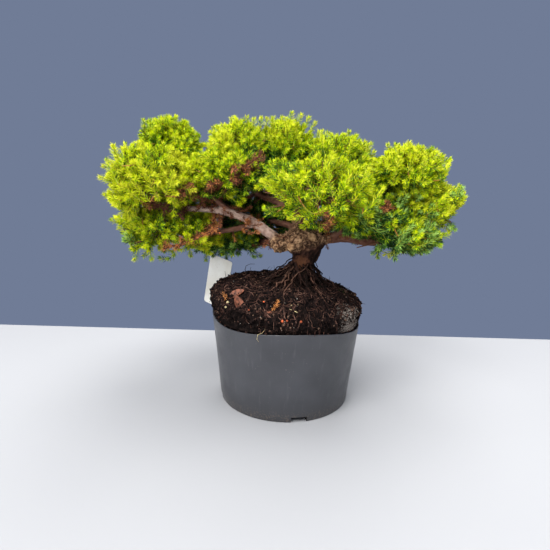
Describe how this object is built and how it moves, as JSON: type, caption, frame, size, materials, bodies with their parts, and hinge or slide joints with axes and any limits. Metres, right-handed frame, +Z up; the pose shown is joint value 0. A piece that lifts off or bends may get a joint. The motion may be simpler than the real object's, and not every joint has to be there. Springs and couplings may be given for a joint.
{
  "type": "juniper bonsai in a nursery pot",
  "caption": "Low, wide juniper bonsai in training: stout leaning trunk with a gnarled burl, spreading boughs and dense needle foliage, rooted in a cut-down round plastic pot.",
  "frame": {"origin": "middle of the pot's flat underside, on the surface that it stands on", "axes": "+Z up, +X along the tree's widest spread to the viewer's right, -Y towards the viewer of the tree's front"},
  "size_m": [0.3939, 0.2474, 0.328],
  "materials": {
    "pot_plastic": "satin",
    "potting_soil": "matte",
    "label_plastic": "satin",
    "bark": "matte",
    "needles": "matte"
  },
  "bodies": {
    "root": {"pot": "pot_plastic", "soil": "potting_soil", "plant_label": "label_plastic", "trunk": "bark", "left_bough": "bark", "left_rising_bough": "bark", "left_low_bough": "bark", "left_inner_bough": "bark", "left_back_bough": "bark", "leader_bough": "bark", "upper_left_bough": "bark", "centre_left_bough": "bark", "apex_bough": "bark", "upper_right_bough": "bark", "back_bough": "bark", "front_bough": "bark", "right_bough": "bark", "right_rising_bough": "bark", "right_outer_bough": "bark", "right_back_bough": "bark", "right_front_bough": "bark", "low_back_bough": "bark", "inner_back_bough": "bark", "left_outer_foliage": "needles", "left_top_foliage": "needles", "left_low_foliage": "needles", "left_inner_foliage": "needles", "left_back_foliage": "needles", "centre_left_foliage": "needles", "centre_top_foliage": "needles", "apex_foliage": "needles", "centre_back_foliage": "needles", "inner_back_foliage": "needles", "right_top_foliage": "needles", "front_foliage": "needles", "right_front_foliage": "needles", "right_upper_foliage": "needles", "right_outer_foliage": "needles", "right_low_foliage": "needles", "right_back_foliage": "needles", "low_back_foliage": "needles"}
  },
  "joints": []
}
